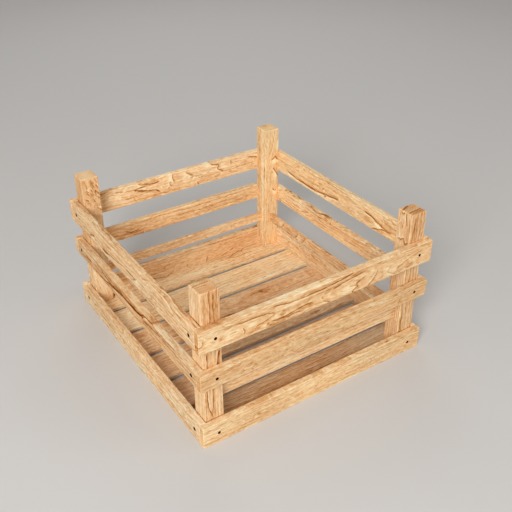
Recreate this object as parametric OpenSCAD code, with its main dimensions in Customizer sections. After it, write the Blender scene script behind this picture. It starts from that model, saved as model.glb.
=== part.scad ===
// Open slatted wooden crate with four corner posts.
// Origin at the centre of the footprint on the ground, +X to the right, -Y to the front, +Z up.

/* [Slats] */
// Length of every slat, which is also the width of the crate
slat_length = 490; // [450:5:540]
// Thickness of the slats
slat_thickness = 13; // [12:0.5:15]
// Height of the top and bottom slats on edge
wide_slat_height = 44; // [38:1:48]
// Height of the middle slats on edge
middle_slat_height = 34; // [28:1:38]
// Lower edge of the top slats above the ground
top_slat_base = 201; // [196:1:210]
// Lower edge of the middle slats above the ground
middle_slat_base = 124.5; // [120:0.5:130]

/* [Corner posts] */
// Side of the square post
post_side = 35; // [33:1:40]
// Height of the posts above the ground
post_height = 303; // [290:1:330]
// Bevel round the top and the foot of each post
post_end_bevel = 1.5; // [1:0.25:3]

/* [Inner rails] */
// Thickness of the rails between the posts
rail_thickness = 7; // [6:0.5:10]
// Height of the rails
rail_height = 20; // [16:1:24]
// Lower edge of the rails above the ground
rail_base = 74; // [68:1:82]
// Depth the rail ends are let into the posts
rail_tenon = 8; // [5:0.5:9]

/* [Floor] */
// Thickness of the floor boards
board_thickness = 6.5; // [5:0.5:9]
// Height of the underside of the floor above the ground
board_lift = 4; // [4:0.5:7]
// Open gap between neighbouring floor boards
board_gap = 12; // [8:1:15]
// Amount by which the first and last board are narrower than the others
outer_board_trim = 4.5; // [0:0.5:8]
// Thickness of the tongue on each board end
tongue_thickness = 4; // [3:0.25:4.5]
// Depth of the housings in the side slats that hold the tongues
housing_depth = 5; // [3:0.5:6]

/* [Nails] */
// Diameter of the nail head
nail_head_diameter = 4.75; // [3:0.25:5.5]
// Thickness of the nail head
nail_head_thickness = 1; // [0.8:0.1:1.4]
// Diameter of the nail shank
nail_shank_diameter = 2; // [1.6:0.1:2.4]
// Length of the nail under the head
nail_length = 24; // [18:1:24]
// Depth of the nail head below the face of the slat
nail_recess = 1.4; // [0.4:0.1:1.8]

/* [Edges and fits] */
// Radius of the eased long edges of slats and posts
edge_radius = 1; // [0.5:0.1:1.6]
// Radius of the eased long edges of rails and floor boards
thin_edge_radius = 0.6; // [0.3:0.1:1]
// Clearance of rail and board ends in their seats
seat_clearance = 0.2; // [0.1:0.05:0.4]
// Clearance between the floor and the posts and slats it lies against
floor_clearance = 0.5; // [0.3:0.1:1]
// Clearance round the nails in their holes
nail_clearance = 0.1; // [0.05:0.05:0.2]

/* [Hidden] */
$fn = 48;

crate_width = slat_length;
crate_depth = slat_length + 2 * slat_thickness;
post_centre_inset = slat_thickness + post_side / 2;
post_x = crate_width / 2 - post_centre_inset;
post_y = crate_depth / 2 - post_centre_inset;
inner_width = crate_width - 2 * slat_thickness;
inner_depth = crate_depth - 2 * slat_thickness;

// slat courses from the ground up: lower edge and height on edge
bottom_slat_base = 0;
bottom_nail_height = bottom_slat_base + wide_slat_height / 2;
middle_nail_height = middle_slat_base + middle_slat_height / 2;
top_nail_height = top_slat_base + wide_slat_height / 2;
nail_heights = [bottom_nail_height, middle_nail_height, top_nail_height];

// nails
shank_bore = nail_shank_diameter + 2 * nail_clearance;
head_bore = nail_head_diameter + 2 * nail_clearance;
head_seat = nail_recess + nail_head_thickness;
nail_point = 1.5 * nail_shank_diameter;
nail_tip_room = 0.5;
nail_rim_bevel = 0.25 * nail_head_thickness;

// floor boards between the front and back slats
board_count = 6;
floor_span = inner_depth - 2 * floor_clearance;
board_width = (floor_span - (board_count - 1) * board_gap + 2 * outer_board_trim) / board_count;
outer_board_width = board_width - outer_board_trim;
board_length = inner_width + 2 * (housing_depth - floor_clearance);
shoulder_x = inner_width / 2 - floor_clearance;
// the posts, with the clearance round them, end at these distances from the middle
notch_x = post_x - post_side / 2 - floor_clearance;
notch_y = post_y - post_side / 2 - floor_clearance;

// cutters reach this far past the faces they open
overshoot = 1;

function is_covering(side) = side == "front" || side == "back";
function side_reach(side) = (is_covering(side) ? crate_depth : crate_width) / 2;
function post_offset(side) = is_covering(side) ? post_x : post_y;
function side_turn(side) = side == "right" ? 90 : side == "back" ? 180 : side == "left" ? -90 : 0;
function board_start(i) = -inner_depth / 2 + floor_clearance
    + (i == 0 ? 0 : outer_board_width + board_gap + (i - 1) * (board_width + board_gap));
function board_size(i) = i == 0 || i == board_count - 1 ? outer_board_width : board_width;

// rectangle with rounded corners, one corner at the origin
module eased_section(a, b, radius) {
    translate([radius, 0])
        square([a - 2 * radius, b]);
    translate([0, radius])
        square([a, b - 2 * radius]);
    for (u = [radius, a - radius])
        for (v = [radius, b - radius])
            translate([u, v])
                circle(r = radius);
}

// rectangle centred along its length with bevelled corners
module bevelled_outline(length, b, bevel) {
    half = length / 2;
    polygon([
        [-half + bevel, 0], [half - bevel, 0], [half, bevel], [half, b - bevel],
        [half - bevel, b], [-half + bevel, b], [-half, b - bevel], [-half, bevel]
    ]);
}

// bar along X, centred in X, from y = 0 and z = 0, long edges rounded and ends bevelled
module bar(length, thickness, height, radius, bevel) {
    intersection() {
        translate([-length / 2, 0, 0])
            rotate([90, 0, 90])
                linear_extrude(length)
                    eased_section(thickness, height, radius);
        translate([0, thickness, 0])
            rotate([90, 0, 0])
                linear_extrude(thickness)
                    bevelled_outline(length, height, bevel);
        linear_extrude(height)
            bevelled_outline(length, thickness, bevel);
    }
}

// turns a piece made for the front side to another side of the crate
module on_side(side) {
    rotate([0, 0, side_turn(side)])
        children();
}

// stepped hole for one nail, from the face at y = 0 inwards
module nail_hole() {
    translate([0, -overshoot, 0])
        rotate([-90, 0, 0])
            cylinder(d = head_bore, h = head_seat + overshoot);
    translate([0, -overshoot, 0])
        rotate([-90, 0, 0])
            cylinder(d = shank_bore, h = overshoot + head_seat + nail_length + nail_tip_room);
}

// slat of one side with its lower edge at base and a nail hole at each end
module slat(side, base, height) {
    on_side(side)
        translate([0, -side_reach(side), base])
            difference() {
                bar(slat_length, slat_thickness, height, edge_radius, edge_radius);
                for (end = [-1, 1])
                    translate([end * post_offset(side), 0, height / 2])
                        nail_hole();
            }
}

// pockets in the right side slat that take the tongues of the floor boards
module board_housings() {
    for (i = [0 : board_count - 1])
        let (
            near = max(board_start(i), -notch_y) - seat_clearance,
            far = min(board_start(i) + board_size(i), notch_y) + seat_clearance
        )
            translate([inner_width / 2 - overshoot, near, board_lift])
                cube([housing_depth + overshoot, far - near, tongue_thickness + seat_clearance]);
}

// post on the origin, outer faces towards -X and -Y
module post_blank() {
    half = post_side / 2;
    difference() {
        translate([half, -half, post_height / 2])
            rotate([0, -90, 0])
                bar(post_height, post_side, post_side, edge_radius, post_end_bevel);
        for (height = nail_heights)
            for (turn = [0, -90])
                rotate([0, 0, turn])
                    translate([0, -half - slat_thickness, height])
                        nail_hole();
        for (turn = [0, 90])
            rotate([0, 0, turn])
                translate([half - rail_tenon, -rail_thickness / 2 - seat_clearance, rail_base])
                    cube([
                        rail_tenon + overshoot,
                        rail_thickness + 2 * seat_clearance,
                        rail_height + seat_clearance
                    ]);
    }
}

// post moved to its corner and turned so that its outer faces meet the slats
module post(x_sign, y_sign, turn) {
    translate([x_sign * post_x, y_sign * post_y, 0])
        rotate([0, 0, turn])
            post_blank();
}

// rail let into the two posts of one side
module rail(side) {
    length = 2 * (post_offset(side) - post_side / 2 + rail_tenon - seat_clearance);
    on_side(side)
        translate([0, post_centre_inset - side_reach(side) - rail_thickness / 2, rail_base])
            bar(length, rail_thickness, rail_height, thin_edge_radius, thin_edge_radius);
}

// floor board with a tongue at both ends, numbered from the front
module plain_board(i) {
    translate([0, board_start(i), board_lift])
        difference() {
            bar(board_length, board_size(i), board_thickness, thin_edge_radius, thin_edge_radius);
            for (flip = [0, 1])
                mirror([flip, 0, 0])
                    translate([shoulder_x, -overshoot, tongue_thickness])
                        cube([board_length, board_size(i) + 2 * overshoot, board_thickness]);
        }
}

// outermost floor board at the front, cut out at both ends for the posts
module notched_board() {
    difference() {
        plain_board(0);
        for (flip = [0, 1])
            mirror([flip, 0, 0])
                translate([notch_x, -inner_depth / 2, 0])
                    cube([board_length / 2, inner_depth / 2 - notch_y, board_lift + 2 * board_thickness]);
    }
}

// nail with its head sunk under the slat face at y = 0
module nail() {
    shank = nail_length - nail_point;
    translate([0, nail_recess, 0])
        rotate([-90, 0, 0]) {
            cylinder(
                d1 = nail_head_diameter - 2 * nail_rim_bevel,
                d2 = nail_head_diameter,
                h = nail_rim_bevel
            );
            translate([0, 0, nail_rim_bevel])
                cylinder(d = nail_head_diameter, h = nail_head_thickness - nail_rim_bevel);
            translate([0, 0, nail_head_thickness])
                cylinder(d = nail_shank_diameter, h = shank);
            translate([0, 0, nail_head_thickness + shank])
                cylinder(d1 = nail_shank_diameter, d2 = 0, h = nail_point);
        }
}

// the six nails of one side, three into each post
module nails(side) {
    color("dimgray")
        on_side(side)
            for (end = [-1, 1])
                for (height = nail_heights)
                    translate([end * post_offset(side), -side_reach(side), height])
                        nail();
}

module post_front_left() {
    color("burlywood")
        post(-1, -1, 0);
}

module post_front_right() {
    color("burlywood")
        post(1, -1, 90);
}

module post_back_right() {
    color("burlywood")
        post(1, 1, 180);
}

module post_back_left() {
    color("burlywood")
        post(-1, 1, -90);
}

module slat_front_top() {
    color("navajowhite")
        slat("front", top_slat_base, wide_slat_height);
}

module slat_front_middle() {
    color("navajowhite")
        slat("front", middle_slat_base, middle_slat_height);
}

module slat_front_bottom() {
    color("navajowhite")
        slat("front", bottom_slat_base, wide_slat_height);
}

module slat_back_top() {
    color("navajowhite")
        slat("back", top_slat_base, wide_slat_height);
}

module slat_back_middle() {
    color("navajowhite")
        slat("back", middle_slat_base, middle_slat_height);
}

module slat_back_bottom() {
    color("navajowhite")
        slat("back", bottom_slat_base, wide_slat_height);
}

module slat_left_top() {
    color("navajowhite")
        slat("left", top_slat_base, wide_slat_height);
}

module slat_left_middle() {
    color("navajowhite")
        slat("left", middle_slat_base, middle_slat_height);
}

module slat_left_bottom() {
    color("navajowhite")
        difference() {
            slat("left", bottom_slat_base, wide_slat_height);
            mirror([1, 0, 0])
                board_housings();
        }
}

module slat_right_top() {
    color("navajowhite")
        slat("right", top_slat_base, wide_slat_height);
}

module slat_right_middle() {
    color("navajowhite")
        slat("right", middle_slat_base, middle_slat_height);
}

module slat_right_bottom() {
    color("navajowhite")
        difference() {
            slat("right", bottom_slat_base, wide_slat_height);
            board_housings();
        }
}

module rail_front() {
    color("wheat")
        rail("front");
}

module rail_back() {
    color("wheat")
        rail("back");
}

module rail_left() {
    color("wheat")
        rail("left");
}

module rail_right() {
    color("wheat")
        rail("right");
}

module floor_board_1() {
    color("tan")
        notched_board();
}

module floor_board_2() {
    color("tan")
        plain_board(1);
}

module floor_board_3() {
    color("tan")
        plain_board(2);
}

module floor_board_4() {
    color("tan")
        plain_board(3);
}

module floor_board_5() {
    color("tan")
        plain_board(4);
}

module floor_board_6() {
    color("tan")
        mirror([0, 1, 0])
            notched_board();
}

module nails_front() {
    nails("front");
}

module nails_back() {
    nails("back");
}

module nails_left() {
    nails("left");
}

module nails_right() {
    nails("right");
}

post_front_left();
post_front_right();
post_back_left();
post_back_right();
slat_front_top();
slat_front_middle();
slat_front_bottom();
slat_back_top();
slat_back_middle();
slat_back_bottom();
slat_left_top();
slat_left_middle();
slat_left_bottom();
slat_right_top();
slat_right_middle();
slat_right_bottom();
rail_front();
rail_back();
rail_left();
rail_right();
floor_board_1();
floor_board_2();
floor_board_3();
floor_board_4();
floor_board_5();
floor_board_6();
nails_front();
nails_back();
nails_left();
nails_right();
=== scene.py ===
import math

import bmesh
import bpy
from mathutils import Matrix, Vector


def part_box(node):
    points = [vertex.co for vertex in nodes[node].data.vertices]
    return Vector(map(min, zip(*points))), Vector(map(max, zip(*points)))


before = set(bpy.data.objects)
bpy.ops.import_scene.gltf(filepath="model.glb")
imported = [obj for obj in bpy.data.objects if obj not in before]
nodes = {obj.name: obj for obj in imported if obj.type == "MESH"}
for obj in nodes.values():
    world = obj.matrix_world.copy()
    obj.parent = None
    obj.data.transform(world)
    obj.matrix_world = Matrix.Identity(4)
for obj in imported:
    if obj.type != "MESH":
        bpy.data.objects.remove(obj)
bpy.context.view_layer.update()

MM = 0.001
# a piece's own axes (u, v, w), with u along the grain, from those of the crate, by the grain's direction
AXES = {"x": (0, 2, 1), "y": (1, 2, 0), "z": (2, 0, 1)}
U = (1.0, 0.0, 0.0)
V = (0.0, 1.0, 0.0)
W = (0.0, 0.0, 1.0)


class Tree:
    """Short calls for building a shader node tree. Arguments may be numbers, colours or sockets."""

    def __init__(self, tree):
        self.tree = tree

    def new(self, kind):
        return self.tree.nodes.new(kind)

    def put(self, socket, value):
        if isinstance(value, bpy.types.NodeSocket):
            self.tree.links.new(value, socket)
        else:
            socket.default_value = value

    def math(self, operation, *values):
        n = self.new("ShaderNodeMath")
        n.operation = operation
        for socket, value in zip(n.inputs, values):
            self.put(socket, value)
        return n.outputs[0]

    def vec(self, operation, *values):
        n = self.new("ShaderNodeVectorMath")
        n.operation = operation
        for socket, value in zip(n.inputs, values):
            self.put(socket, value)
        scalar = operation in ("DOT_PRODUCT", "LENGTH", "DISTANCE")
        return n.outputs["Value" if scalar else "Vector"]

    def scale(self, vector, factor):
        n = self.new("ShaderNodeVectorMath")
        n.operation = "SCALE"
        self.put(n.inputs["Vector"], vector)
        self.put(n.inputs["Scale"], factor)
        return n.outputs["Vector"]

    def split(self, vector):
        n = self.new("ShaderNodeSeparateXYZ")
        self.put(n.inputs[0], vector)
        return n.outputs[0], n.outputs[1], n.outputs[2]

    def join(self, x, y, z):
        n = self.new("ShaderNodeCombineXYZ")
        for socket, value in zip(n.inputs, (x, y, z)):
            self.put(socket, value)
        return n.outputs[0]

    def noise_node(self, place, stretch, detail, roughness, w):
        """Noise node. stretch is how many of its waves fit in a metre along each axis."""
        n = self.new("ShaderNodeTexNoise")
        n.noise_dimensions = "4D"
        self.put(n.inputs["Vector"], self.vec("MULTIPLY", place, stretch))
        self.put(n.inputs["W"], w)
        n.inputs["Scale"].default_value = 1.0
        n.inputs["Detail"].default_value = detail
        n.inputs["Roughness"].default_value = roughness
        return n

    def noise(self, place, stretch, detail, roughness, w=0.0):
        """Noise from 0 to 1."""
        return self.noise_node(place, stretch, detail, roughness, w).outputs["Fac"]

    def centred(self, noise, swing):
        """A noise from 0 to 1 as one that swings by half of swing to each side of 0."""
        return self.math("MULTIPLY", self.math("SUBTRACT", noise, 0.5), swing)

    def ramp(self, value, stops):
        """Grey or colour of a value, from stops of (place, level)."""
        n = self.new("ShaderNodeValToRGB")
        while len(n.color_ramp.elements) < len(stops):
            n.color_ramp.elements.new(0.5)
        for element, (at, level) in zip(n.color_ramp.elements, stops):
            element.position = at
            element.color = (*level, 1.0) if isinstance(level, tuple) else (level, level, level, 1.0)
        self.put(n.inputs[0], value)
        return n.outputs[0]

    def smooth(self, value, low, high, to_low, to_high):
        """Smooth step from to_low, where the value is low, to to_high, where it is high."""
        n = self.new("ShaderNodeMapRange")
        n.interpolation_type = "SMOOTHSTEP"
        n.clamp = False
        keys = ("Value", "From Min", "From Max", "To Min", "To Max")
        for key, v in zip(keys, (value, low, high, to_low, to_high)):
            self.put(n.inputs[key], v)
        return n.outputs[0]

    def mix(self, factor, a, b):
        """Colour between a and b, which are sockets 6 and 7 of the node, with the result in socket 2."""
        n = self.new("ShaderNodeMix")
        n.data_type = "RGBA"
        self.put(n.inputs[0], factor)
        for socket, value in ((n.inputs[6], a), (n.inputs[7], b)):
            self.put(socket, (*value, 1.0) if isinstance(value, tuple) else value)
        return n.outputs[2]

    def blend(self, factor, a, b):
        """Vector between a and b, which are sockets 4 and 5 of the node, with the result in socket 1."""
        n = self.new("ShaderNodeMix")
        n.data_type = "VECTOR"
        for socket, value in zip((n.inputs[0], n.inputs[4], n.inputs[5]), (factor, a, b)):
            self.put(socket, value)
        return n.outputs[1]

    def use(self, group, **values):
        """Outputs of a node group with these inputs."""
        n = self.new("ShaderNodeGroup")
        n.node_tree = group
        for key, value in values.items():
            self.put(n.inputs[key], value)
        return tuple(n.outputs)

    def finish_group(self, **values):
        """Hands these values to the outputs of the node group that the tree is of."""
        out = self.new("NodeGroupOutput").inputs
        for key, value in values.items():
            self.put(out[key], value)

    def finish_material(self, color, roughness, specular, relief=None):
        """Shader of a material. relief is the (height, strength, distance in mm) of its bump."""
        shader = self.new("ShaderNodeBsdfPrincipled")
        self.put(shader.inputs["Base Color"], color)
        self.put(shader.inputs["Roughness"], roughness)
        shader.inputs["Specular IOR Level"].default_value = specular
        if relief:
            height, strength, distance = relief
            bump = self.new("ShaderNodeBump")
            bump.inputs["Strength"].default_value = strength
            bump.inputs["Distance"].default_value = distance * MM
            self.put(bump.inputs["Height"], height)
            self.put(shader.inputs["Normal"], bump.outputs["Normal"])
        self.put(self.new("ShaderNodeOutputMaterial").inputs["Surface"], shader.outputs["BSDF"])


def new_group(name, inputs, outputs):
    """Empty node group, its Tree and the sockets of its input node."""
    group = bpy.data.node_groups.new(name, "ShaderNodeTree")
    for in_out, sockets in (("INPUT", inputs), ("OUTPUT", outputs)):
        for key, kind in sockets.items():
            group.interface.new_socket(name=key, in_out=in_out, socket_type="NodeSocket" + kind)
    t = Tree(group)
    return group, t, t.new("NodeGroupInput").outputs


def new_material(name):
    """Material without nodes, and its Tree."""
    material = bpy.data.materials.new(name)
    material.use_nodes = True
    material.node_tree.nodes.clear()
    return material, Tree(material.node_tree)


def dress(node, material):
    """Makes the material the only one of a node."""
    materials = nodes[node].data.materials
    materials.clear()
    materials.append(material)


def srgb(*screen):
    """Linear colour of an 8-bit screen colour."""
    parts = [c / 255 for c in screen]
    return tuple(c / 12.92 if c <= 0.04045 else ((c + 0.055) / 1.055) ** 2.4 for c in parts)


# tones of the wood from its palest to its darkest
TONES = (
    (0.00, srgb(253, 240, 206)),
    (0.20, srgb(248, 218, 172)),
    (0.40, srgb(232, 188, 139)),
    (0.60, srgb(206, 151, 94)),
    (0.80, srgb(150, 88, 28)),
    (1.00, srgb(84, 34, 0)),
)
# the wood is tinted between these two from place to place
WARM = (1.03, 0.98, 0.93)
COOL = (0.97, 1.01, 1.05)
# the stain round a nail, at its edge and at the nail
STAIN_EDGE = srgb(96, 38, 0)
STAIN_HEART = srgb(40, 9, 1)
NAIL_STEEL = srgb(30, 8, 3)
NAIL_RUST = srgb(50, 18, 6)
# the studio's paper, and the same where the key lamp hangs close above it
PAPER = (0.62, 0.605, 0.585)
PAPER_UNDER_KEY = (0.34, 0.332, 0.322)

# noises of the wood: waves in a metre along (u, v, w), detail, roughness, and what is added to the seed
LAYERS = {
    "waviness": ((5.0, 22.0, 22.0), 1.0, 0.4, 0.0),
    "curl": ((30.0, 80.0, 80.0), 2.0, 0.5, 1.3),
    "jitter": ((120.0, 420.0, 420.0), 1.0, 0.5, 2.6),
    "patch": ((12.0, 40.0, 40.0), 2.0, 0.5, 9.2),
    "broad": ((4.0, 24.0, 24.0), 3.0, 0.55, 3.1),
    "fibre": ((70.0, 1500.0, 1500.0), 2.0, 0.6, 5.3),
    "fleck": ((150.0, 430.0, 430.0), 1.0, 0.5, 4.4),
    "curl_field": ((38.0, 85.0, 85.0), 1.0, 0.5, 6.1),
    "curl_place": ((20.0, 50.0, 50.0), 0.0, 0.5, 7.7),
    "hue": ((6.0, 30.0, 30.0), 2.0, 0.5, 8.8),
    "pores": ((0.0, 800.0, 800.0), 2.0, 0.6, 0.0),
}
# noises along the rings: waves in a metre of u and in one ring, detail and roughness
FLOW = ((22.0, 1.6, 0.0), 3.0, 0.6)
GRAIN = ((70.0, 5.0, 0.0), 2.0, 0.6)
# noises that bend the figure lines and let them swell and thin, and those of the nails' rust and pits
BEND = ((70.0, 140.0, 0.0), 1.0, 0.5)
SWELL = ((45.0, 90.0, 0.0), 2.0, 0.6)
RUST = ((900.0, 900.0, 900.0), 4.0, 0.65)
PITS = ((2600.0, 2600.0, 2600.0), 2.0, 0.5)
# levels across a growth ring, from its start at 0 to its end at 1
LATE_WOOD = ((0.0, 0.20), (0.05, 0.0), (0.62, 0.05), (0.84, 0.35), (0.93, 1.0), (0.98, 1.0))
EARLY_WOOD = ((0.0, 0.2), (0.10, 1.0), (0.26, 0.55), (0.50, 0.0))
# levels across a fine and a finest band, and how many of them are in a ring
FINE_BAND = ((0.0, 0.0), (0.30, 0.15), (0.80, 1.0), (1.0, 0.0))
FINE_BANDS = 2.1
FINEST_BAND = ((0.0, 0.0), (0.70, 1.0), (1.0, 0.0))
FINEST_BANDS = 6.7
# how far, in rings, noise shifts the bands to and fro, and how many times as far the finer ones
JITTER = 0.16
FINE_JITTER = 2.0
FINEST_JITTER = 4.0
# smooth steps, each from and to which value they run and their levels there
STEPS = {
    # strength of the figure by the patch noise
    "contrast": (0.34, 0.62, 0.30, 1.15),
    # where short curls are, by their noise, and their line, by the distance of their field from its middle
    "curl_place": (0.48, 0.60, 0.0, 1.0),
    "curl_line": (0.003, 0.022, 1.0, 0.0),
    # what wear and a painted edge highlight add to the tone, by the distance from an edge
    "wear_and_highlight": (0.8 * MM, 2.4 * MM, -0.07, 0.0),
    # end grain, by how squarely the face crosses the grain
    "end": (0.80, 0.95, 0.0, 1.0),
    # cool wood by the hue noise
    "hue": (0.32, 0.68, 0.0, 1.0),
    # colours of the stain by its strength
    "stain_edge": (0.0, 0.6, 0.0, 1.0),
    "stain_heart": (0.6, 0.9, 0.0, 1.0),
    # roughness by the tone
    "roughness": (0.1, 0.8, 0.50, 0.68),
    # strength of a figure line by the share of its length from its middle
    "line_ends": (0.42, 0.52, 1.0, 0.1),
    # its dark core and the pale wood on its left, by the distance from it in half widths
    "line_core": (0.35, 1.45, 1.0, 0.0),
    "line_pale": (1.2, 4.5, 0.50, 0.0),
    # half width of a figure line by the swell noise
    "swell": (0.30, 0.65, 0.70, 1.25),
    # colour and roughness of a nail by its rust noise
    "rust": (0.42, 0.62, 0.0, 1.0),
    "rust_roughness": (0.30, 0.70, 0.50, 0.85),
}
# where the stain round a nail starts to fade, in mm from the nail's middle
STAIN_HEART_REACH = 2.0
# the brown wood on the right of a figure line, and how many mm it reaches besides two half widths
BROWN_LEVEL = 0.36
BROWN_REACH = 5.0
# level of the pale wood beside a short curl, by how far its field is above the middle
CURL_LIGHT = ((0.0, 0.0), (0.025, 0.0), (0.045, 1.0), (0.10, 0.0))

# the tone is 0 for the palest and 1 for the darkest wood, and starts from this one
BASE_TONE = 0.28
WEIGHTS = {
    # noises, which swing the tone by half of this to each side
    "broad": 0.44, "flow": 0.40, "grain": 0.76, "fibre": 0.26, "fleck": 0.34,
    # what adds to it
    "fine": 0.30, "finest": 0.08, "shade": 0.26,
    # dark figure, of which the strongest counts
    "late": 0.50, "curl": 0.36, "mark": 0.58,
    # pale figure, of which the strongest counts
    "early": 0.22, "curl_light": 0.22, "halo": 0.42,
}
# the tone of end grain starts from this one
END_TONE = 0.39
END_WEIGHTS = {"late": 0.13, "patch": 0.5, "pores": -0.30, "Shade": 0.40, "Mark": 0.45, "Halo": -0.35}
# what the flow noise adds to the distance from an edge, in mm
EDGE_RAGGED = 1.4
# what end grain and stain add to the roughness
END_ROUGHNESS = 0.14
STAIN_ROUGHNESS = 0.40
# what each part adds to the height of the wood's relief
RELIEF = {"late": -0.30, "fibre": 0.4, "curl": -0.3, "mark": -0.6}
# strength of the bump and its height in mm
WOOD_BUMP = (0.35, 0.4)
NAIL_BUMP = (0.4, 0.1)
# specular level of the surfaces
WOOD_SPECULAR = 0.04
NAIL_SPECULAR = 0.0
PAPER_SPECULAR = 0.1
PAPER_ROUGHNESS = 0.9

# inputs of the wood group: Half is the piece's half size, and Facing how squarely a face crosses the grain
WOOD_INPUTS = {
    "Place": "Vector",
    "Half": "Vector",
    "Facing": "Float",
    "Pith": "Vector",
    "Spacing": "Float",
    "Waviness": "Float",
    "Curl": "Float",
    "Mark": "Float",
    "Halo": "Float",
    "Shade": "Float",
    "Stain": "Float",
    "Contrast": "Float",
    "Curls": "Float",
    "Tint": "Vector",
    "Seed": "Float",
}


def growth_rings(t, src, layer):
    """Bands of the growth rings round the pith and the noises along them, each from 0 to 1."""
    across = t.vec("MULTIPLY", t.vec("SUBTRACT", src["Place"], src["Pith"]), (0.0, 1.0, 1.0))
    ring = t.math("DIVIDE", t.vec("LENGTH", across), src["Spacing"])
    ring = t.math("ADD", ring, t.centred(layer("waviness"), src["Waviness"]))
    ring = t.math("ADD", ring, t.centred(layer("curl"), src["Curl"]))
    jitter = t.centred(layer("jitter"), JITTER)
    phase = t.math("FRACT", t.math("ADD", ring, jitter))
    fine = t.math("MULTIPLY_ADD", jitter, FINE_JITTER, t.math("MULTIPLY", ring, FINE_BANDS))
    finest = t.math("MULTIPLY_ADD", jitter, FINEST_JITTER, t.math("MULTIPLY", ring, FINEST_BANDS))
    along = t.join(t.vec("DOT_PRODUCT", src["Place"], U), ring, 0.0)
    return {
        "late": t.ramp(phase, LATE_WOOD),
        "early": t.ramp(phase, EARLY_WOOD),
        "fine": t.ramp(t.math("FRACT", fine), FINE_BAND),
        "finest": t.ramp(t.math("FRACT", finest), FINEST_BAND),
        "flow": t.noise(along, *FLOW, src["Seed"]),
        "grain": t.noise(along, *GRAIN, src["Seed"]),
    }


def short_curls(t, src, layer):
    """Dark lines where a field crosses its middle level, and the pale wood on one side of them."""
    field = t.math("SUBTRACT", layer("curl_field"), 0.5)
    strength = t.math("MULTIPLY", src["Curls"], t.smooth(layer("curl_place"), *STEPS["curl_place"]))
    dark = t.smooth(t.math("ABSOLUTE", field), *STEPS["curl_line"])
    light = t.ramp(field, CURL_LIGHT)
    return t.math("MULTIPLY", dark, strength), t.math("MULTIPLY", light, strength)


def worn_and_highlit_edges(t, src, flow):
    """Tone that wear and a painted highlight add at the edges, where the middle one of the distances to the
    faces is small.
    """
    off = t.split(t.vec("SUBTRACT", src["Half"], t.vec("ABSOLUTE", src["Place"])))
    low = t.math("MINIMUM", off[0], off[1])
    high = t.math("MAXIMUM", off[0], off[1])
    edge = t.math("MAXIMUM", low, t.math("MINIMUM", high, off[2]))
    edge = t.math("MULTIPLY_ADD", flow, EDGE_RAGGED * MM, edge)
    return t.smooth(edge, *STEPS["wear_and_highlight"])


def end_grain(t, src, layer, late, patch):
    """Tone of the end grain."""
    tone = t.math("MULTIPLY_ADD", late, END_WEIGHTS["late"], END_TONE)
    tone = t.math("ADD", tone, t.centred(patch, END_WEIGHTS["patch"]))
    tone = t.math("ADD", tone, t.centred(layer("pores"), END_WEIGHTS["pores"]))
    for key in ("Shade", "Mark", "Halo"):
        tone = t.math("MULTIPLY_ADD", src[key], END_WEIGHTS[key], tone)
    return tone


def wood_group():
    """Colour, gloss and relief of a piece of softwood in its own axes, with u along the grain."""
    outputs = {"Color": "Color", "Roughness": "Float", "Height": "Float"}
    group, t, src = new_group("wood", WOOD_INPUTS, outputs)

    def layer(name):
        """One of the wood's noises."""
        stretch, detail, roughness, offset = LAYERS[name]
        return t.noise(src["Place"], stretch, detail, roughness, t.math("ADD", src["Seed"], offset))

    def strongest(**parts):
        """The largest of these parts times their weights."""
        weighted = [t.math("MULTIPLY", part, WEIGHTS[key]) for key, part in parts.items()]
        best = weighted[0]
        for other in weighted[1:]:
            best = t.math("MAXIMUM", best, other)
        return best

    rings = growth_rings(t, src, layer)
    curl, curl_light = short_curls(t, src, layer)
    patch = layer("patch")
    fibre = layer("fibre")
    strength = t.math("MULTIPLY", src["Contrast"], t.smooth(patch, *STEPS["contrast"]))
    late, early, fine = (t.math("MULTIPLY", rings[key], strength) for key in ("late", "early", "fine"))
    line = strongest(late=late, curl=curl, mark=src["Mark"])
    glow = strongest(early=early, curl_light=curl_light, halo=src["Halo"])

    noises = {"broad": layer("broad"), "flow": rings["flow"], "grain": rings["grain"], "fibre": fibre,
              "fleck": layer("fleck")}
    tone = BASE_TONE
    for key, noise in noises.items():
        tone = t.math("ADD", tone, t.centred(noise, WEIGHTS[key]))
    for key, part in {"fine": fine, "finest": rings["finest"], "shade": src["Shade"]}.items():
        tone = t.math("MULTIPLY_ADD", part, WEIGHTS[key], tone)
    tone = t.math("ADD", tone, t.math("SUBTRACT", line, glow))
    # paler edges: partly wear, partly a painted highlight
    tone = t.math("ADD", tone, worn_and_highlit_edges(t, src, rings["flow"]))
    end = t.smooth(src["Facing"], *STEPS["end"])
    end_tone = end_grain(t, src, layer, rings["late"], patch)
    tone = t.math("ADD", tone, t.math("MULTIPLY", end, t.math("SUBTRACT", end_tone, tone)))

    color = t.vec("MULTIPLY", t.ramp(tone, TONES), src["Tint"])
    color = t.vec("MULTIPLY", color, t.blend(t.smooth(layer("hue"), *STEPS["hue"]), WARM, COOL))
    color = t.mix(t.smooth(src["Stain"], *STEPS["stain_edge"]), color, STAIN_EDGE)
    color = t.mix(t.smooth(src["Stain"], *STEPS["stain_heart"]), color, STAIN_HEART)

    rough = t.smooth(tone, *STEPS["roughness"])
    rough = t.math("MULTIPLY_ADD", end, END_ROUGHNESS, rough)
    rough = t.math("MULTIPLY_ADD", src["Stain"], STAIN_ROUGHNESS, rough)

    height = t.math("MULTIPLY", rings["late"], RELIEF["late"])
    for key, part in {"fibre": fibre, "curl": curl, "mark": src["Mark"]}.items():
        height = t.math("MULTIPLY_ADD", part, RELIEF[key], height)
    t.finish_group(Color=color, Roughness=rough, Height=height)
    return group


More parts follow.
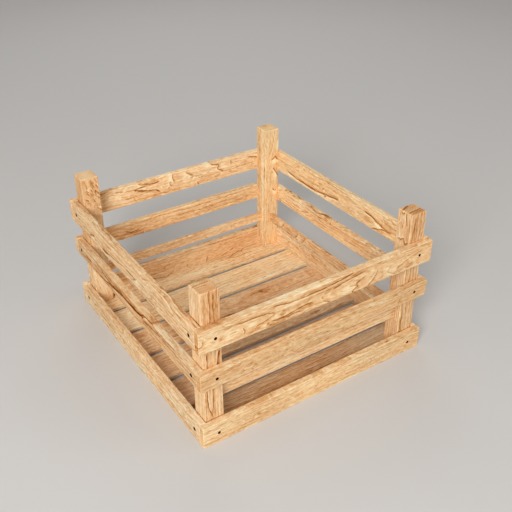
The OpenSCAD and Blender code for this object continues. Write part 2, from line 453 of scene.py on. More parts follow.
def hills(t, place, spots):
    """Sum of soft hills, each (u, v, half length, half height, amount), in mm."""
    total = 0.0
    for u, v, length, height, amount in spots:
        away = t.vec("SUBTRACT", place, (u * MM, v * MM, 0.0))
        away = t.vec("MULTIPLY", away, (1 / (length * MM), 1 / (height * MM), 0.0))
        hill = t.math("EXPONENT", t.math("MULTIPLY", t.vec("DOT_PRODUCT", away, away), -1.0))
        total = t.math("MULTIPLY_ADD", hill, amount, total)
    return total


def nail_stain(t, place, nail_u, reach):
    """Stain round the two nails of a slat, nail_u metres to each side of its middle and reach mm wide."""
    u = t.vec("DOT_PRODUCT", place, U)
    v = t.vec("DOT_PRODUCT", place, V)
    aside = t.math("SUBTRACT", t.math("ABSOLUTE", u), nail_u)
    away = t.vec("LENGTH", t.join(aside, v, 0.0))
    return t.smooth(away, STAIN_HEART_REACH * MM, reach * MM, 1.0, 0.0)


def segment_group():
    """One straight part of a figure line.

    Found holds the side of the line a place is on, 1 for the left and -1 for the right, and how far along the
    line its nearest point is. Nearest is the distance to that point.
    """
    inputs = {"Place": "Vector", "Start": "Vector", "Run": "Vector", "Before": "Float", "Share": "Float",
              "Found": "Vector", "Nearest": "Float"}
    group, t, src = new_group("figure_segment", inputs, {"Found": "Vector", "Nearest": "Float"})
    rel = t.vec("SUBTRACT", src["Place"], src["Start"])
    run = src["Run"]
    share = t.math("DIVIDE", t.vec("DOT_PRODUCT", rel, run), t.vec("DOT_PRODUCT", run, run))
    share = t.math("MAXIMUM", t.math("MINIMUM", share, 1.0), 0.0)
    gap = t.vec("DISTANCE", rel, t.scale(run, share))
    side = t.math("SIGN", t.vec("DOT_PRODUCT", t.vec("CROSS_PRODUCT", run, rel), W))
    along = t.math("MULTIPLY_ADD", share, src["Share"], src["Before"])
    closer = t.math("LESS_THAN", gap, src["Nearest"])
    found = t.blend(closer, src["Found"], t.join(side, along, 0.0))
    t.finish_group(Found=found, Nearest=t.math("MINIMUM", src["Nearest"], gap))
    return group


def line_group():
    """Adds one figure line: dark along it, pale wood on its left, brown on its right."""
    inputs = {"Found": "Vector", "Nearest": "Float", "Width": "Float", "Strength": "Float",
              "Dark": "Float", "Pale": "Float"}
    group, t, src = new_group("figure_line", inputs, {"Dark": "Float", "Pale": "Float"})
    side = t.vec("DOT_PRODUCT", src["Found"], U)
    along = t.vec("DOT_PRODUCT", src["Found"], V)
    from_middle = t.math("ABSOLUTE", t.math("SUBTRACT", along, 0.5))
    fade = t.math("MULTIPLY", t.smooth(from_middle, *STEPS["line_ends"]), src["Strength"])
    spread = t.math("DIVIDE", src["Nearest"], src["Width"])
    core = t.smooth(spread, *STEPS["line_core"])
    right = t.math("MULTIPLY_ADD", side, -0.5, 0.5)
    left = t.math("MULTIPLY_ADD", side, 0.5, 0.5)
    reach = t.math("MULTIPLY_ADD", src["Width"], 2.0, BROWN_REACH * MM)
    brown = t.math("MULTIPLY", t.smooth(src["Nearest"], 0.0, reach, BROWN_LEVEL, 0.0), right)
    light = t.math("MULTIPLY", t.smooth(spread, *STEPS["line_pale"]), left)
    dark = t.math("MULTIPLY", fade, t.math("MAXIMUM", core, brown))
    pale = t.math("MULTIPLY", fade, light)
    t.finish_group(Dark=t.math("MAXIMUM", src["Dark"], dark), Pale=t.math("MAXIMUM", src["Pale"], pale))
    return group


WOOD = wood_group()
SEGMENT = segment_group()
LINE = line_group()


def marks(t, place, seed, sway, lines):
    """Dark and pale of figure lines, each (half width, strength, (u, v), (u, v), ...), in mm.

    sway is how far, in mm, noise may push the lines off their course.
    """
    dark = 0.0
    pale = 0.0
    if not lines:
        return dark, pale
    bend = t.noise_node(place, *BEND, seed).outputs["Color"]
    bend = t.scale(t.vec("SUBTRACT", bend, (0.5, 0.5, 0.5)), sway * MM)
    flat = t.vec("MULTIPLY", t.vec("ADD", place, bend), (1.0, 1.0, 0.0))
    swell = t.smooth(t.noise(place, *SWELL, seed), *STEPS["swell"])
    for width, strength, *points in lines:
        points = [Vector((u * MM, v * MM, 0.0)) for u, v in points]
        total = sum((b - a).length for a, b in zip(points, points[1:]))
        before = 0.0
        found = (0.0, 0.0, 0.0)
        nearest = 1.0
        for a, b in zip(points, points[1:]):
            share = (b - a).length / total
            found, nearest = t.use(SEGMENT, Place=flat, Start=tuple(a), Run=tuple(b - a), Before=before,
                                   Share=share, Found=found, Nearest=nearest)
            before += share
        dark, pale = t.use(LINE, Found=found, Nearest=nearest, Width=t.math("MULTIPLY", swell, width * MM),
                           Strength=strength, Dark=dark, Pale=pale)
    return dark, pale


# the nails stand on the centre lines of the posts
POST_MIDDLE = sum(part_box("post_front_left"), Vector()) / 2


def wood(node, grain, pith, spacing, seed, waviness=3.2, curl=1.1, curls=0.5, contrast=0.5,
         tint=(1.0, 1.0, 1.0), lean=0.0, sway=2.4, stain_reach=3.5,
         shades=(), side_shades=(), cross_shades=(), lines=(), side_lines=(), end_lines=()):
    """Gives a node its own piece of wood.

    pith is (v, w) and spacing that of the rings, both in mm. The pith leans by lean along v for each step
    along u. waviness and curl are how far, in rings, noise bends the rings, contrast and curls how strong the
    rings and the short curls are, and sway how far, in mm, noise bends the lines. Shades and lines lie in the
    plane (u, v), those of the side in (u, w), and those of the end or across in (v, w).
    """
    lowest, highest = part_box(node)
    order = AXES[grain]
    half = (highest - lowest) / 2
    material, t = new_material("wood_" + node)
    where = t.new("ShaderNodeTexCoord").outputs
    parts = t.split(t.vec("SUBTRACT", where["Object"], tuple((lowest + highest) / 2)))
    u, v, w = (parts[i] for i in order)
    place = t.join(u, v, w)
    turned = t.join(u, w, v)
    across = t.join(v, w, u)
    facing = t.math("ABSOLUTE", t.split(where["Normal"])[order[0]])
    mark, halo = marks(t, place, seed, sway, lines)
    side_mark, side_halo = marks(t, turned, seed, sway, side_lines)
    end_mark, end_halo = marks(t, across, seed, sway, end_lines)
    if end_lines:
        end_mark = t.math("MULTIPLY", end_mark, facing)
        end_halo = t.math("MULTIPLY", end_halo, facing)
    stain = 0.0
    if node.startswith("slat"):
        stain = nail_stain(t, place, abs(POST_MIDDLE[order[0]]), stain_reach)
    color, rough, height = t.use(
        WOOD,
        Place=place,
        Half=tuple(half[i] for i in order),
        Facing=facing,
        Pith=t.join(0.0, t.math("MULTIPLY_ADD", u, lean, pith[0] * MM), pith[1] * MM),
        Spacing=spacing * MM,
        Waviness=waviness,
        Curl=curl,
        Mark=t.math("MAXIMUM", t.math("MAXIMUM", mark, side_mark), end_mark),
        Halo=t.math("MAXIMUM", t.math("MAXIMUM", halo, side_halo), end_halo),
        Shade=t.math("ADD", t.math("ADD", hills(t, place, shades), hills(t, turned, side_shades)),
                     hills(t, across, cross_shades)),
        Stain=stain,
        Contrast=contrast,
        Curls=curls,
        Tint=tint,
        Seed=seed,
    )
    t.finish_material(color, rough, WOOD_SPECULAR, relief=(height, *WOOD_BUMP))
    dress(node, material)


def nail_material():
    """Dark steel nail heads with a bloom of rust."""
    material, t = new_material("nail_steel")
    where = t.new("ShaderNodeTexCoord").outputs["Object"]
    rust = t.noise(where, *RUST)
    pits = t.noise(where, *PITS)
    color = t.mix(t.smooth(rust, *STEPS["rust"]), NAIL_STEEL, NAIL_RUST)
    rough = t.smooth(rust, *STEPS["rust_roughness"])
    t.finish_material(color, rough, NAIL_SPECULAR, relief=(pits, *NAIL_BUMP))
    return material


# radius and height of the studio floor's rings in metres, from its flat part up the backdrop
FLOOR_PROFILE = ((3.0, 0.0), (3.6, 0.08), (4.1, 0.34), (4.45, 0.80), (4.6, 1.5), (4.6, 5.0))
FLOOR_STEPS = 72
# where the key lamp is brightest on the floor, and how far round it the paper is less pale, in metres
KEY_SPOT = (-1.71, -1.56, 0.0)
KEY_SPOT_REACH = 2.0
KEY_SPOT_FADE = ((0.0, 0.0), (0.45, 0.4), (0.95, 1.0))
# place in metres, diameter in metres and power in watts of each lamp, and the point they face
LAMPS = {
    "key": ((-2.2, -2.0, 1.9), 1.6, 102),
    "fill": ((2.0, -1.8, 1.6), 2.0, 10),
    "rear": ((1.2, 2.2, 2.2), 2.0, 14),
}
LAMP_AIM = Vector((0.0, 0.0, 0.12))
WORLD_LEVEL = 0.43
# the photograph's camera: its place in metres, its yaw, pitch and roll in degrees, and the width of its
# sensor and its focal length in mm
EYE = (-0.63837, -1.00711, 0.91767)
TURN = (56.381, -32.417, -0.08)
SENSOR = 36.0
LENS = 50.533
# nearest and farthest that it sees, in metres
CLIP = (0.05, 30.0)


def paper_material():
    """Pale paper, a little darker under the key lamp, so that it doesn't burn out there."""
    material, t = new_material("studio_paper")
    where = t.new("ShaderNodeTexCoord").outputs["Object"]
    away = t.math("DIVIDE", t.vec("DISTANCE", where, KEY_SPOT), KEY_SPOT_REACH)
    color = t.mix(t.ramp(away, KEY_SPOT_FADE), PAPER_UNDER_KEY, PAPER)
    t.finish_material(color, PAPER_ROUGHNESS, PAPER_SPECULAR)
    return material


def studio_floor():
    """Pale floor that sweeps up into a backdrop all round."""
    bm = bmesh.new()
    middle = bm.verts.new((0.0, 0.0, 0.0))
    turns = [math.tau * k / FLOOR_STEPS for k in range(FLOOR_STEPS)]
    rings = []
    for radius, height in FLOOR_PROFILE:
        rings.append([bm.verts.new((radius * math.cos(a), radius * math.sin(a), height)) for a in turns])
    for k in range(FLOOR_STEPS):
        j = (k + 1) % FLOOR_STEPS
        bm.faces.new((middle, rings[0][k], rings[0][j]))
        for low, high in zip(rings, rings[1:]):
            bm.faces.new((low[k], high[k], high[j], low[j]))
    mesh = bpy.data.meshes.new("studio_floor")
    bm.to_mesh(mesh)
    bm.free()
    mesh.polygons.foreach_set("use_smooth", [True] * len(mesh.polygons))
    mesh.materials.append(paper_material())
    piece = bpy.data.objects.new("studio_floor", mesh)
    bpy.context.scene.collection.objects.link(piece)
    return piece


def studio_light(name, place, size, power):
    """Soft round lamp that faces the crate."""
    light = bpy.data.lights.new(name, "AREA")
    light.shape = "DISK"
    light.size = size
    light.energy = power
    lamp = bpy.data.objects.new(name, light)
    lamp.location = place
    aim = LAMP_AIM - Vector(place)
    lamp.rotation_euler = aim.to_track_quat("-Z", "Y").to_euler()
    bpy.context.scene.collection.objects.link(lamp)


def studio_world():
    """Plain white light from all round."""
    world = bpy.data.worlds.new("studio")
    world.use_nodes = True
    background = world.node_tree.nodes["Background"].inputs
    background["Color"].default_value = (1.0, 1.0, 1.0, 1.0)
    background["Strength"].default_value = WORLD_LEVEL
    bpy.context.scene.world = world


def studio_camera():
    """The photograph's camera."""
    yaw, pitch, roll = (math.radians(a) for a in TURN)
    look = Vector((math.cos(pitch) * math.cos(yaw), math.cos(pitch) * math.sin(yaw), math.sin(pitch)))
    right = Vector((math.sin(yaw), -math.cos(yaw), 0.0))
    basis = Matrix((right, right.cross(look), -look)).transposed() @ Matrix.Rotation(roll, 3, "Z")
    camera = bpy.data.objects.new("camera", bpy.data.cameras.new("camera"))
    camera.matrix_world = Matrix.Translation(EYE) @ basis.to_4x4()
    camera.data.sensor_width = SENSOR
    camera.data.lens = LENS
    camera.data.clip_start, camera.data.clip_end = CLIP
    bpy.context.scene.collection.objects.link(camera)
    bpy.context.scene.camera = camera


# in mm from the middle of a post: its side, its top, and the upper edges of the three slats nailed to it
POST_SIDE = 17.5
POST_TOP = 151
SLAT_EDGES = (93.9, 7.4, -107.1)
# in mm from the middle of a slat: its left end, its inner face, and the upper edge of a wide and a middle one
SLAT_END = -245.5
SLAT_INSIDE = 6.5
WIDE_EDGE = 22
MIDDLE_EDGE = 17


# these four give shades, each (u, v, half length, half height, amount)
def seam_shadows(side, amounts):
    """Painted shadow lines along the upper edges of the top, middle and bottom slat on the face at side (-1
    or 1) of a post.
    """
    return [(u, side * POST_SIDE, 1.1, 2.5, amount) for u, amount in zip(SLAT_EDGES, amounts)]


def post_top(amount):
    """Shade on the top of a post."""
    return POST_TOP, 0, 3, 40, amount


def slat_end(depth, amount):
    """Shade on the left end of a slat, depth mm deep."""
    return SLAT_END, 0, depth, 90, amount


def inner_edge_shadow(edge):
    """Painted shadow line along the upper inner edge of a slat."""
    return [(edge, SLAT_INSIDE, 0.9, 1.3, 1.0)]


# slats of the front and back: u to the right, v upwards
wood("slat_front_top", "x", pith=(-6, 8), spacing=8.6, seed=1.3,
     contrast=0.42, curls=0.25, tint=(0.94, 0.92, 0.89),
     shades=[(0, 22, 250, 2, -0.6), (-214, 22.5, 30, 1.5, 1.3), slat_end(1.6, 0.6), (-145, -13, 14, 8, 0.7),
             (-85, -15, 34, 7, 0.6), (-95, 1, 22, 5, 0.25), (10, 3, 26, 7, 0.45), (58, 18, 26, 6, 0.55),
             (-74, 6.5, 24, 3, -0.9), (47, -7, 13, 5, -1.0), (50, -15, 12, 4, -0.6), (-165, 0, 30, 6, -0.1),
             (150, 4, 50, 14, -0.25), (205, -12, 24, 7, -0.4), (205, 19, 34, 4, -0.4),
             (-222, -10, 12, 8, -0.2), (-117, -13.5, 2.6, 2.2, 1.7), (-112.5, -17, 2.2, 1.6, 1.1),
             (-124, -13, 4, 3, -0.9), (102, 10, 4, 3, -0.9), (97, -17.5, 2.4, 1.8, 0.8),
             (137, 0.5, 2.5, 3, -0.9), (98, -3, 3, 2.5, -0.6)],
     lines=[
         (1.3, 0.78, (60, 21), (50, 18.5), (40, 16.5), (25, 14.5), (0, 12), (-15, 11), (-28, 11), (-45, 10.9),
          (-62, 10.4), (-74, 10.6), (-83, 12), (-90, 14), (-100, 15), (-115, 16)),
         (1.1, 0.68, (-143, -16), (-141, -10), (-135, -7.5), (-125, -6), (-114, -3.5), (-108, 0), (-105.5, 3),
          (-110, 5), (-120, 7.5), (-135, 8.7), (-150, 8.8), (-165, 9.5), (-180, 10.5)),
         (1.4, 0.74, (-113, -10), (-100, -12), (-85, -12), (-75, -10.5), (-65, -8.5), (-55, -7), (-42, -5.7),
          (-32, -6), (-25, -8.5)),
         (1.1, 0.45, (-80, -15), (-70, -14), (-60, -13.5), (-45, -15)),
         (1.2, 0.40, (-72, -20.5), (-55, -19), (-38, -19.5)),
         (1.3, 0.75, (10, -21.5), (4, -18), (-3, -15), (-8, -12.5)),
         (1.2, 0.55, (-5, -9), (-9.5, -4.5)),
         (1.3, 0.62, (88, 14), (75, 12), (65, 11), (55, 10.5), (45, 8.5), (35, 7), (24, 4.5), (14, 1.5)),
         (1.5, 0.78, (60, -22), (58, -17.5), (63, -14), (70, -11.5), (67, -8.5), (60, -7.5), (50, -7.5)),
         (1.5, 0.74, (65, -5.5), (70, -2.5), (76, -0.5), (84, 2.5)),
         (1.4, 0.68, (93, -20.5), (97, -17), (101, -14), (105.5, -10), (106.5, -7), (110, -4), (112, 1),
          (113, 5)),
         (1.5, 0.62, (158, -10), (161, -8), (165, -5.5), (172, -3.2), (180, -0.5), (188, 2)),
         (1.2, 0.60, (157, -19), (147, -13.5), (138, -8.5)),
         (1.1, 0.55, (137, -7), (140, -2.5), (145, 3)),
         (1.0, 0.40, (190, 4), (205, 7), (224, 12)),
         (1.0, 0.35, (176, 8), (192, 13), (212, 17)),
         (1.3, 0.35, (111, 19), (122, 19.5)),
         (1.2, 0.75, (-163, -13), (-161, -9), (-163, -5), (-165, -1)),
         (1.2, 0.65, (-248, -7), (-240, -6), (-237, -2), (-238, 4)),
         (1.1, 0.50, (-202, 18), (-196, 14), (-184, 12)),
     ])
wood("slat_front_middle", "x", pith=(26, 8), spacing=8.2, seed=2.1,
     curls=0.6, contrast=0.32, tint=(0.88, 0.85, 0.80),
     shades=[slat_end(0.8, 0.2), (-20, -15, 60, 6, 0.55), (-150, 0, 50, 12, 0.15), (140, 6, 50, 8, -0.25)],
     lines=[
         (1.2, 0.40, (-165, -4), (-163, -8), (-170, -12)),
         (1.3, 0.45, (-145, -13), (-150, -9.5)),
         (1.0, 0.30, (-148, 4), (-150, -3)),
         (1.0, 0.30, (-100, -1), (-104, 5)),
         (1.2, 0.40, (80, -5), (88, -2.5)),
         (1.3, 0.35, (88, 7), (98, 9), (106, 10)),
         (1.2, 0.30, (-10, 12), (0, 12)),
         (1.2, 0.30, (50, 2), (58, 3.5)),
     ])
wood("slat_front_bottom", "x", pith=(-34, 12), spacing=8.8, seed=3.7,
     contrast=0.30, waviness=2.2, tint=(0.98, 0.99, 0.97),
     shades=[(0, -20, 300, 4, -0.45), (0, 20, 300, 3, 0.25)],
     lines=[(1.2, 0.45, (-10, -15), (20, -16)), (1.0, 0.35, (-188, -16), (-185, -12))])
wood("slat_back_top", "x", pith=(4, -8), spacing=8.6, seed=4.9,
     contrast=0.34, tint=(1.06, 1.09, 1.11),
     shades=[(-102, 13, 8, 2.5, -1.2), (-80, 6, 16, 2, -0.4), (-26, 13, 4, 8, -1.0), (-8, 8, 8, 14, 0.4),
             (22, 3, 6, 3, -0.7), (10, 13, 4, 5, -0.6), (66, 18, 8, 4, -1.1), (60, -12, 20, 6, 0.5),
             (108, 7, 6, 4, -0.7), (160, 11, 5, 3, -0.5), (-150, 4, 30, 12, -0.25), (-20, -17, 60, 4, 0.3)],
     lines=[
         (1.7, 0.85, (-50, 13.5), (-60, 12), (-67, 12), (-75, 13.5), (-85, 15.5), (-95, 17), (-101, 21)),
         (1.8, 0.84, (-66, 10), (-80, 10.5), (-90, 10.5), (-100, 10), (-109, 8), (-100, 5.5), (-90, 2.5),
          (-80, -0.5), (-70, -2), (-60, -4), (-55, -7), (-50, -13)),
         (1.5, 0.60, (-135, 11), (-141, 13), (-152, 14.5)),
         (1.5, 0.75, (-16, 2), (-18, 8), (-20, 13), (-19, 22)),
         (1.4, 0.70, (-24, -6), (-27, 0), (-26, 6)),
         (1.2, 0.50, (-32, -9), (-28, -6)),
         (1.5, 0.75, (29, 2), (27, 7), (22, 10.5), (16, 13), (12, 18)),
         (1.7, 0.84, (107, -5), (98, 1), (93, 4), (92, 7), (95, 10), (94, 13), (88, 16), (80, 17.5),
          (73, 22)),
         (1.4, 0.65, (127, 8), (127, 17)),
         (1.8, 0.85, (173, 13), (180, 12), (186, 10.5), (197, 8)),
         (1.4, 0.60, (43, -19), (39, -12)),
         (1.1, 0.45, (-112, -9), (-109, -14), (-106, -17)),
         (1.1, 0.40, (-120, 2), (-112, -3), (-104, -6)),
     ])
wood("slat_back_middle", "x", pith=(26, -10), spacing=8.4, seed=5.2,
     contrast=0.50, tint=(1.03, 1.03, 1.01),
     shades=[(-125, -8, 30, 6, 0.3), (-195, 2, 40, 12, -0.6)],
     lines=[(1.2, 0.60, (-139, 1.3), (-126, -5.2), (-114, -4.4), (-108, -0.3)),
            (1.1, 0.40, (60, -5), (78, -1), (96, 1))])
wood("slat_back_bottom", "x", pith=(-30, -12), spacing=8.4, seed=6.2, contrast=0.50, tint=(1.0, 1.03, 1.06))
# slats of the left and right: u to the back, v upwards
wood("slat_left_top", "y", pith=(28, 10), spacing=8.8, seed=7.4,
     contrast=0.45, stain_reach=4.8, tint=(0.89, 0.89, 0.90),
     cross_shades=inner_edge_shadow(WIDE_EDGE),
     shades=[(-46, -7, 8, 5, -0.7), (-190, -8, 30, 10, 0.3), (60, 12, 60, 8, -0.1), (-124, 3, 3, 3, -0.8),
             (110, 11, 110, 1.1, -0.9), (175, 17, 50, 1.0, -0.7)],
     lines=[
         (2.0, 0.80, (162, -13.5), (155, -10), (138, -4.5)),
         (3.2, 1.00, (104, -13.5), (90, -14.5), (78, -12.5)),
         (1.5, 0.62, (80, -13), (66, -10.5), (46, -9), (25, -6)),
         (1.5, 0.69, (-26, -11), (-33, -7), (-42, -3), (-30, -1.5), (0, -2)),
         (1.3, 0.50, (-98, 0), (-102, -7), (-91, -12)),
         (0.9, 0.35, (-170, -2), (-176, 5), (-182, 12)),
         (1.1, 0.40, (-118, -15), (-122, -9)),
         (1.1, 0.40, (-144, -18), (-151, -11)),
         (1.3, 0.50, (-200, 3), (-220, 6), (-240, 5)),
         (1.3, 0.50, (-195, -6), (-215, -4), (-240, -6)),
     ])
wood("slat_left_middle", "y", pith=(-26, 10), spacing=8.4, seed=8.6,
     contrast=0.55, stain_reach=4.8, tint=(0.83, 0.77, 0.72),
     cross_shades=inner_edge_shadow(MIDDLE_EDGE),
     shades=[(0, 3, 100, 10, 0.45), (0, 17.5, 400, 2.5, -0.8), (-66, 9, 8, 4, -1.3), (60, -7, 10, 2.5, -1.2),
             (5, -3, 20, 2, -0.8), (108, -3, 12, 3, -0.7), (168, 2, 14, 5, -0.8), (205, 4, 34, 14, -0.5)],
     lines=[
         (1.8, 0.95, (-51, 1), (-53, 4), (-56, 8), (-60, 11.5), (-66, 14), (-80, 15.5), (-98, 15.5)),
         (3.0, 0.80, (-6, 2), (-20, 2.4), (-32, 2.6), (-42, 4), (-50, 6.5), (-57, 11), (-63, 15)),
         (2.2, 0.88, (52, -0.5), (40, 0.2), (30, 0.8), (15, 1), (0, 1.6), (-14, 2.2)),
         (3.4, 0.78, (100, -7), (90, -5), (80, -3.4), (70, -2.4), (58, -1.4), (46, -0.3)),
         (1.7, 0.80, (136, -12.5), (120, -10.8), (108, -9), (96, -6.8), (88, -5)),
         (1.7, 0.70, (130, 6.5), (116, 3.5), (105, 1.5), (92, -0.5), (78, -2)),
         (1.4, 0.60, (-55, 1), (-70, 1), (-85, 2), (-95, 4), (-110, 5), (-125, 7)),
         (1.4, 0.50, (-125, 6), (-150, 5), (-165, 5), (-183, 3)),
         (2.1, 1.00, (177, -1.2), (190, -1.8), (206, -0.8)),
         (1.3, 0.40, (-10, 13), (15, 13)),
     ])
wood("slat_left_bottom", "y", pith=(30, 14), spacing=9.0, seed=9.1,
     contrast=0.36, waviness=2.4, stain_reach=4.8,
     tint=(0.95, 1.05, 1.17), cross_shades=inner_edge_shadow(WIDE_EDGE),
     shades=[(0, 0, 300, 60, 0.12), (150, 12, 60, 6, 0.2), (40, 8, 70, 4, -0.15)],
     lines=[(1.1, 0.40, (170, -8), (120, -6), (80, -7)), (1.1, 0.35, (20, 6), (-40, 4), (-90, 7)),
            (1.1, 0.35, (-120, -12), (-170, -10), (-220, -13))])
wood("slat_right_top", "y", pith=(24, -10), spacing=8.8, seed=10.3,
     contrast=0.32, tint=(1.03, 1.06, 1.04),
     shades=[(-125, -8, 8, 4, -1.2), (-160, 6, 20, 10, 0.45), (-99, -8, 16, 6, 0.5), (-28, -1, 18, 3, -0.5),
             (-20, -14, 30, 5, 0.25), (95, 2, 16, 5, 0.25), (150, -15, 16, 3, -0.8), (60, 8, 60, 8, -0.2)],
     lines=[
         (1.9, 0.95, (178, -9), (160, -12), (140, -14.5), (115, -15.2), (90, -15.3), (70, -14.8), (55, -13.5),
          (42, -11.5), (27, -7.5)),
         (1.8, 0.80, (40, -16), (34, -11.5)),
         (2.0, 0.95, (48, -13), (38, -10.5), (30, -9.5), (20, -8.2), (10, -6.5), (-6, -4.5)),
         (1.4, 0.70, (47, -4), (43, 3)),
         (1.6, 0.95, (-84, 6.5), (-100, 5.5), (-110, 4), (-117, 1.5), (-125, -1), (-135, -4), (-147, -6.5),
          (-166, -7)),
         (2.2, 0.80, (-117, 0.5), (-129, -3)),
         (1.9, 0.80, (-165, -7.5), (-150, -9), (-139, -10)),
         (1.6, 0.90, (-150, -8.5), (-139, -10), (-130, -14), (-120, -17), (-109, -21)),
         (1.2, 0.45, (-60, -9), (-45, -10)),
         (1.1, 0.40, (5, 12), (18, 8)),
     ])
wood("slat_right_middle", "y", pith=(-26, -10), spacing=8.4, seed=11.9,
     contrast=0.66, curls=0.8, tint=(1.03, 1.05, 1.05),
     shades=[(120, 4, 50, 8, -0.25), (40, -10, 40, 5, 0.35), (-60, 8, 50, 6, 0.3)],
     lines=[(1.3, 0.55, (118, -6), (104, -2), (92, 2)), (1.2, 0.50, (104, -9), (90, -5), (76, -3)),
            (1.2, 0.50, (60, 6), (40, 10), (24, 12)), (1.2, 0.45, (150, 8), (128, 11)),
            (1.2, 0.45, (-30, -6), (-60, -3), (-95, -4))])
wood("slat_right_bottom", "y", pith=(22, -12), spacing=8.4, seed=12.4,
     contrast=0.50, tint=(1.0, 1.03, 1.06))
# posts: u upwards, v to the right, side lines lie on the faces towards -X and +X
wood("post_front_left", "z", pith=(-34, 30), spacing=4.2, seed=13.8,
     waviness=2.4, curl=0.7, curls=0.15, contrast=0.42,
     sway=1.5, tint=(0.90, 0.85, 0.82),
     # the shade at v -18 paints the face towards -X paler: painted light on that side of the post
     shades=[post_top(-0.15), (0, -18, 200, 3, -0.6), (-66, -6.5, 28, 4, -0.2), (110, 8, 50, 10, 0.5),
             (-70, 9, 30, 6, -0.5), (20, -2, 14, 7, -0.5)] + seam_shadows(-1, (1.7, 1.4, 1.6)),
     side_shades=seam_shadows(-1, (0.3, 0.5, 1.5)),
     side_lines=[
         (0.7, 0.45, (152, 10.3), (90, 10)),
         (0.7, 0.50, (152, -5.2), (90, -5.6)),
         (0.9, 0.50, (152, -10.8), (90, -11.2)),
         (0.7, 0.40, (56, 4), (2, 2)),
         (0.8, 0.50, (-38, 1), (-112, 3)),
         (0.7, 0.45, (-38, -8), (-112, -9)),
     ],
     lines=[
         (1.0, 0.85, (-104, -4.5), (-92, -6), (-85, -9), (-75, -11), (-60, -12), (-40, -12.5)),
         (1.0, 0.85, (-36, -1), (-60, -1.8), (-80, -2.6), (-92, -3.8), (-106, -4.5)),
         (1.1, 0.90, (34, -10), (4, -10.5)),
         (1.4, 1.00, (35, 13), (21, 10.5), (4, 8)),
         (0.8, 0.55, (148, -3), (120, -1), (92, -2)),
         (0.8, 0.50, (148, 5), (125, 4), (92, 6)),
     ],
     end_lines=[
         (1.2, 0.70, (14, 8), (6, 7), (0, 7.5), (-10, 7), (-18, 5)),
         (1.0, 0.45, (6, -1), (0, 1), (-8, 1.5), (-18, 1)),
         (0.9, 0.35, (12, 12), (0, 14), (-12, 13)),
     ])
wood("post_front_right", "z", pith=(-30, 34), spacing=4.6, seed=14.6,
     waviness=2.6, curl=1.0, curls=0.2, contrast=0.52,
     sway=1.5, tint=(0.93, 0.87, 0.82),
     # the shade at v -18 paints the face towards -X paler: painted light on that side of the post
     shades=[post_top(0.2), (120, -8, 30, 5, 0.3), (0, -18, 300, 3, -0.3)],
     side_shades=[(104, 7, 12, 3, -0.7), (140, -1, 10, 2.5, -0.7), (100, -11, 14, 5, 0.4),
                  (120, -14, 20, 3, 0.3)] + seam_shadows(-1, (0.5, 0.5, 1.4)),
     lines=[(1.1, 0.65, (145, -8), (118, -9), (96, -6)), (1.0, 0.50, (40, -4), (5, -5))],
     side_lines=[
         (1.3, 0.90, (92, 13), (95, 8), (93.5, 4), (97, 0), (99, -3), (94, -5), (89, -7), (90, -9),
          (95, -14)),
         (1.3, 0.80, (149, 9), (146, 5), (150, 1)),
         (1.2, 0.80, (126, -7), (138, -4.5), (149, -2)),
         (1.1, 0.55, (116, -14), (128, -13), (142, -12)),
         (1.1, 0.60, (122, 12), (128, 8), (124, 4), (118, 2)),
     ],
     end_lines=[
         (1.5, 0.85, (-18, 9), (-10, 11), (-5, 13), (2, 15)),
         (1.3, 0.60, (-18, -7), (-5, -5.5), (5, -5), (17, -3)),
         (1.0, 0.40, (-17, -13), (0, -10), (16, -8)),
         (1.0, 0.30, (-6, 4), (5, 6), (14, 9)),
     ])
wood("post_back_left", "z", pith=(30, 34), spacing=4.4, seed=15.5,
     waviness=2.6, curl=1.2, curls=0.2, contrast=0.42,
     lean=-0.20, sway=1.5, tint=(0.93, 0.87, 0.81),
     # the shade at v -19 paints the face towards -X darker and more orange: painted shade on that side of the
     # post
     shades=[post_top(-0.4), (128, -4, 3, 3, -1.0), (83, 14, 4, 4, -1.0), (-75, 2, 45, 26, -0.75),
             (30, 2, 36, 26, -0.6), (0, -19, 400, 5, 0.2)] + seam_shadows(-1, (1.2, 1.5, 1.8)),
     side_shades=[(-75, 0, 45, 40, -0.5)],
     side_lines=[
         (1.0, 0.45, (150, 5), (93, 3)),
         (0.9, 0.40, (150, -8), (93, -9)),
         (0.9, 0.35, (60, 5), (2, 8)),
         (0.9, 0.30, (56, -6), (2, -4)),
         (0.9, 0.25, (-38, 8), (-112, 4)),
         (0.9, 0.22, (-38, -3), (-112, -8)),
     ],
     lines=[
         (1.1, 0.52, (128, -7), (138, -8), (148, -12)),
         (1.1, 0.50, (127, 9), (136, 5), (148, 1)),
         (1.1, 0.70, (121, -5), (127, -9)),
         (1.1, 0.75, (115, -4), (121, -9)),
         (1.2, 0.85, (103, -7), (108, -12)),
         (1.1, 0.70, (118, 4), (126, 0)),
         (1.1, 0.65, (112, 6), (119, 2)),
         (1.1, 0.60, (126, 16), (135, 11)),
         (1.2, 0.75, (114, 15), (122, 10)),
         (1.1, 0.70, (104, 16), (110, 11)),
         (1.1, 0.50, (138, 15), (146, 11)),
         (1.1, 0.55, (96, -5), (101, -10)),
         (1.3, 0.85, (77, 17), (82, 13), (85, 8)),
         (1.1, 0.60, (98, 6), (106, 2)),
     ])
